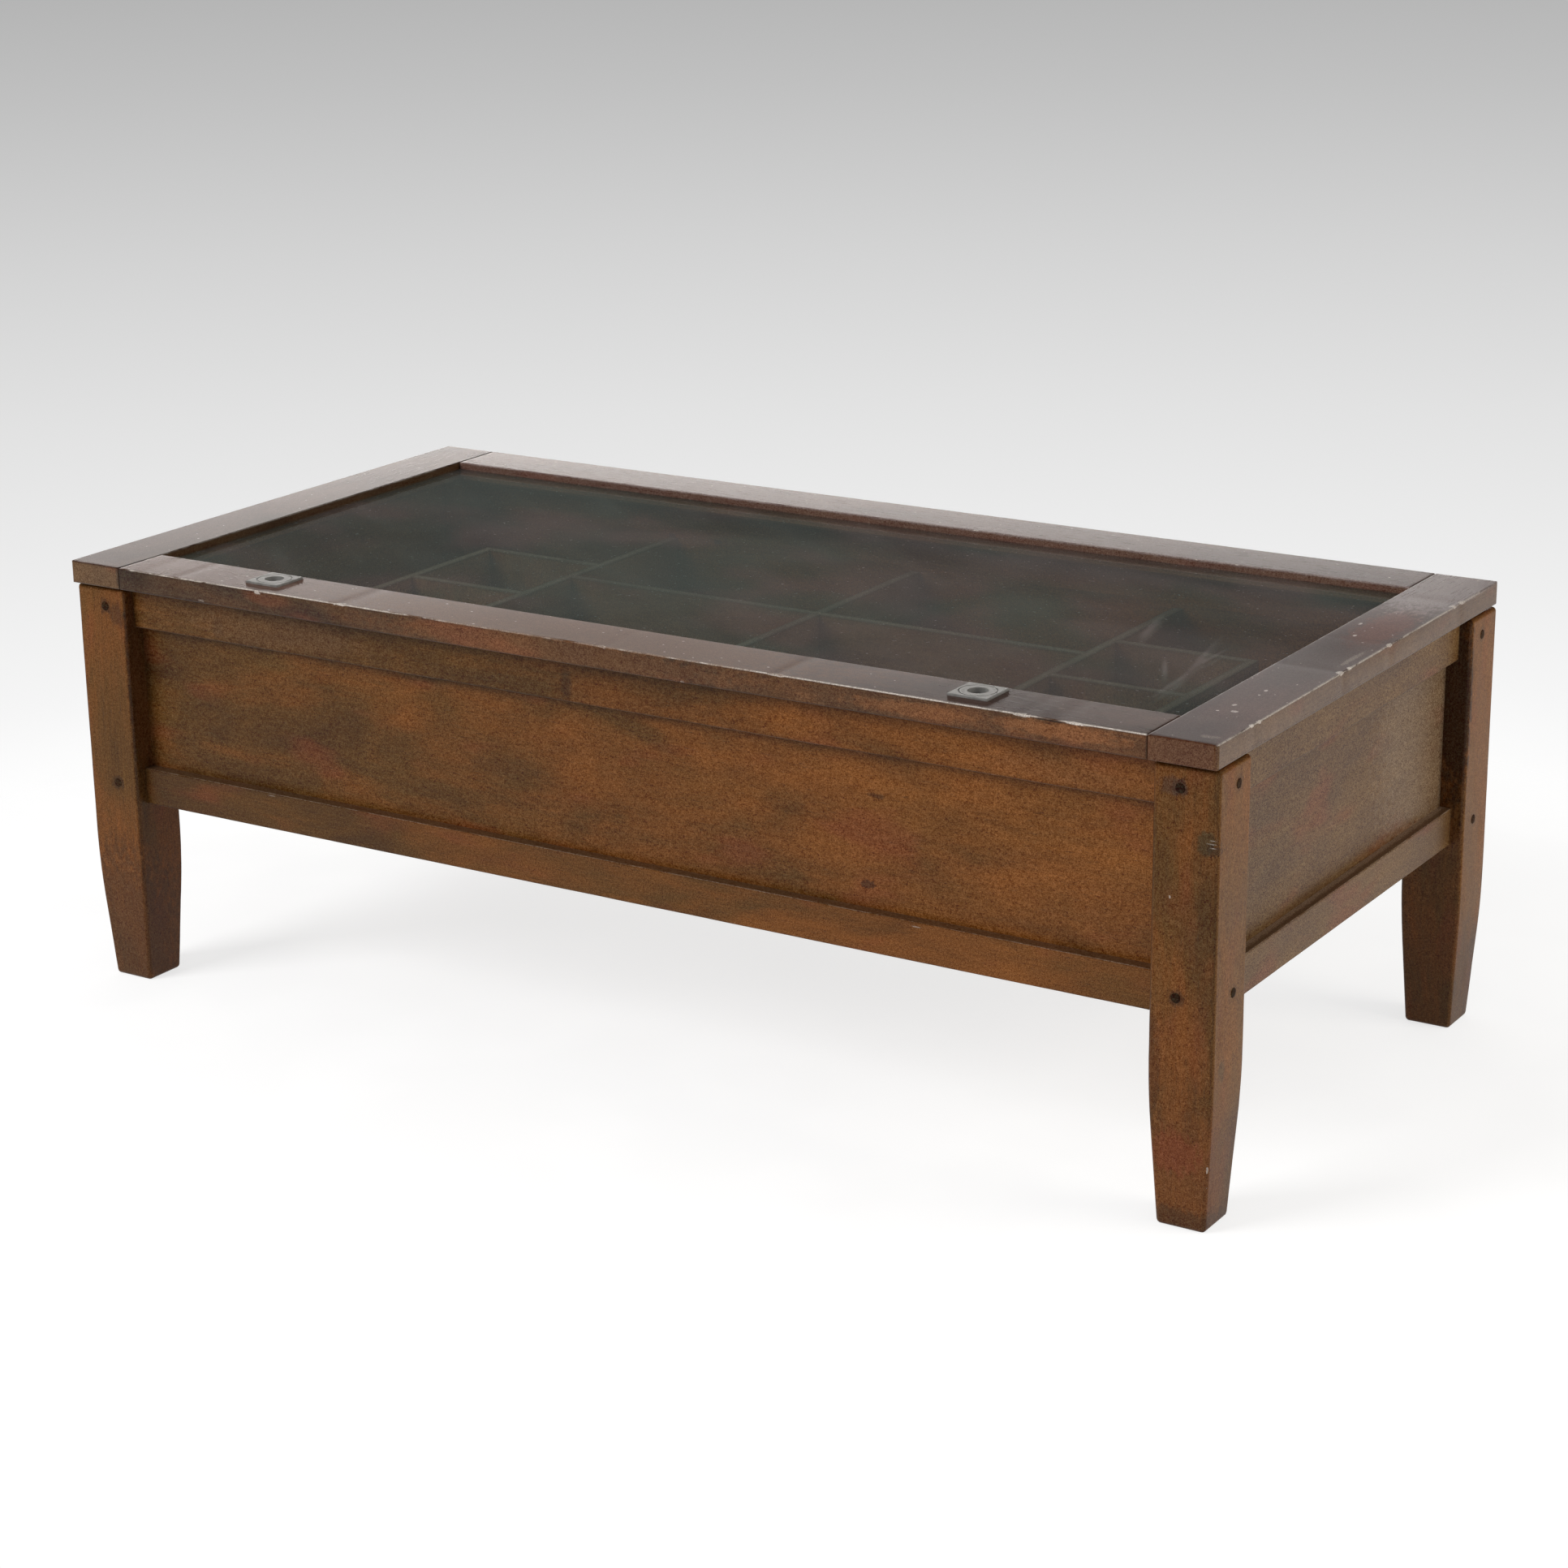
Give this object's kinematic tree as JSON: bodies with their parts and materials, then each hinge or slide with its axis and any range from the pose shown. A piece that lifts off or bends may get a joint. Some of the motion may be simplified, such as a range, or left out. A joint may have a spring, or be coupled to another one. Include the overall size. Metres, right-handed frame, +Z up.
{
  "type": "collectors display table",
  "caption": "Low wooden display table with a hinged glass lid over a divided case, pegged frame-and-panel sides and tapered legs.",
  "frame": {"origin": "on the floor, under the centre of the whole outline with its hinges", "axes": "+X along the length to the right, +Y to the back with the hinges, +Z up"},
  "size_m": [1.2724, 0.6298, 0.4482],
  "materials": {
    "case_wood": "aged warm brown stain with dark glaze, satin",
    "lid_wood": "aged dark brown stain, semi-gloss, worn edges",
    "peg_wood": "dark stained hardwood",
    "divider_wood": "thin brown stain, matt",
    "inner_wood": "plain, thin stain, matt",
    "lid_glass": "clear float glass",
    "plate_metal": "aged grey, satin",
    "hinge_metal": "dull plated",
    "screw_metal": "dull plated",
    "bumper_felt": "soft, matt"
  },
  "bodies": {
    "case": {"bottom_rail_back": "case_wood", "bottom_rail_front": "case_wood", "bottom_rail_left": "case_wood", "bottom_rail_right": "case_wood", "deck_battens": "inner_wood", "deck_cleat_back": "inner_wood", "deck_cleat_front": "inner_wood", "deck_cleat_left": "inner_wood", "deck_cleat_right": "inner_wood", "display_deck": "inner_wood", "divider_centre": "divider_wood", "divider_inner_left": "divider_wood", "divider_inner_right": "divider_wood", "divider_long_back": "divider_wood", "divider_long_front": "divider_wood", "divider_outer_left": "divider_wood", "divider_outer_right": "divider_wood", "divider_short_left_1": "divider_wood", "divider_short_left_2": "divider_wood", "divider_short_left_3": "divider_wood", "divider_short_right_1": "divider_wood", "divider_short_right_2": "divider_wood", "divider_short_right_3": "divider_wood", "hinge_case_leaf_left": "hinge_metal", "hinge_case_leaf_right": "hinge_metal", "hinge_case_screws": "screw_metal", "hinge_pins": "hinge_metal", "joint_pegs": "peg_wood", "leg_back_left": "case_wood", "leg_back_right": "case_wood", "leg_front_left": "case_wood", "leg_front_right": "case_wood", "lid_bumpers": "bumper_felt", "panel_back": "case_wood", "panel_front": "case_wood", "panel_left": "case_wood", "panel_right": "case_wood", "top_rail_back": "case_wood", "top_rail_front": "case_wood", "top_rail_left": "case_wood", "top_rail_right": "case_wood"},
    "lid": {"finger_plate_left": "plate_metal", "finger_plate_right": "plate_metal", "glass_pane": "lid_glass", "glazing_bead_back": "lid_wood", "glazing_bead_front": "lid_wood", "glazing_bead_left": "lid_wood", "glazing_bead_right": "lid_wood", "hinge_lid_leaf_left": "hinge_metal", "hinge_lid_leaf_right": "hinge_metal", "hinge_lid_screws": "screw_metal", "lid_rail_back": "lid_wood", "lid_rail_front": "lid_wood", "lid_rail_left": "lid_wood", "lid_rail_right": "lid_wood"}
  },
  "joints": [
    {"name": "lid_hinge", "type": "hinge", "parent": "case", "child": "lid", "pos_m": [0, 0.31071, 0.42225], "axis": [-1, 0, 0], "range_deg": [0, 95]}
  ]
}
